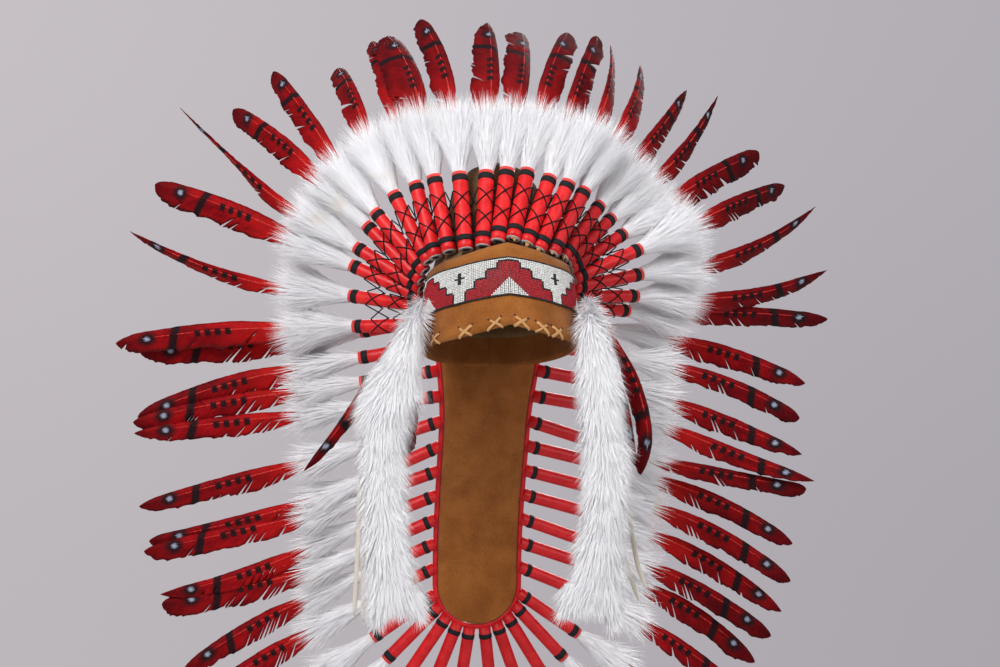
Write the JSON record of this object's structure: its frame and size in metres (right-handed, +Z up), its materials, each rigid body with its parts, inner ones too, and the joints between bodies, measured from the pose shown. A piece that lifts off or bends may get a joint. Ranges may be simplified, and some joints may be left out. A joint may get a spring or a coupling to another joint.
{
  "type": "feathered headdress",
  "caption": "Feathered headdress: a suede cap and beaded brow band carry a fan of wrapped plumes, with a long plumed trailer behind and a fur drop at each temple.",
  "frame": {"origin": "middle of the head opening at the brow band's lower rim, where the headdress sits on a head", "axes": "+Z up, -Y to the front over the forehead, +X to the right as seen from the front (the wearer's left)"},
  "size_m": [0.8215, 0.3706, 1.0375],
  "materials": {
    "band_suede": "brushed tan suede with a soft nap",
    "cap_suede": "dark brown suede",
    "white_beads": "opaque white seed beads, glossy",
    "red_beads": "opaque red seed beads, glossy",
    "black_beads": "opaque black seed beads, glossy",
    "red_cloth": "smooth bright red cloth wrap with a satin sheen",
    "black_cloth": "matt black ribbon and thread",
    "red_feather": "dyed feather with airbrushed black marks",
    "white_fur": "long white fur and marabou fluff",
    "cream_thong": "cream suede thong",
    "tan_thong": "light tan suede thong"
  },
  "bodies": {
    "root": {"cap_panel_front": "cap_suede", "cap_panel_right": "cap_suede", "cap_panel_left": "cap_suede", "brow_band": "band_suede", "bead_strip": "white_beads", "crown_sheath_01": "red_cloth", "crown_plume_01": "red_feather", "crown_sheath_02": "red_cloth", "crown_plume_02": "red_feather", "crown_sheath_03": "red_cloth", "crown_plume_03": "red_feather", "crown_sheath_04": "red_cloth", "crown_plume_04": "red_feather", "crown_sheath_05": "red_cloth", "crown_plume_05": "red_feather", "crown_sheath_06": "red_cloth", "crown_plume_06": "red_feather", "crown_sheath_07": "red_cloth", "crown_plume_07": "red_feather", "crown_sheath_08": "red_cloth", "crown_plume_08": "red_feather", "crown_sheath_09": "red_cloth", "crown_plume_09": "red_feather", "crown_sheath_10": "red_cloth", "crown_plume_10": "red_feather", "crown_sheath_11": "red_cloth", "crown_plume_11": "red_feather", "crown_sheath_12": "red_cloth", "crown_plume_12": "red_feather", "crown_sheath_13": "red_cloth", "crown_plume_13": "red_feather", "crown_sheath_14": "red_cloth", "crown_plume_14": "red_feather", "crown_sheath_15": "red_cloth", "crown_plume_15": "red_feather", "crown_sheath_16": "red_cloth", "crown_plume_16": "red_feather", "crown_sheath_17": "red_cloth", "crown_plume_17": "red_feather", "crown_sheath_18": "red_cloth", "crown_plume_18": "red_feather", "crown_sheath_19": "red_cloth", "crown_plume_19": "red_feather", "crown_sheath_20": "red_cloth", "crown_plume_20": "red_feather", "crown_sheath_21": "red_cloth", "crown_plume_21": "red_feather", "crown_sheath_22": "red_cloth", "crown_plume_22": "red_feather", "crown_sheath_23": "red_cloth", "crown_plume_23": "red_feather", "trailer_strip": "band_suede", "trailer_plumes_left": "red_feather", "trailer_plumes_right": "red_feather", "fur_drop_left": "white_fur", "fur_drop_right": "white_fur", "drop_feathers_left": "red_feather", "drop_feathers_right": "red_feather", "tie_left": "cream_thong", "tie_right": "cream_thong"}
  },
  "joints": []
}
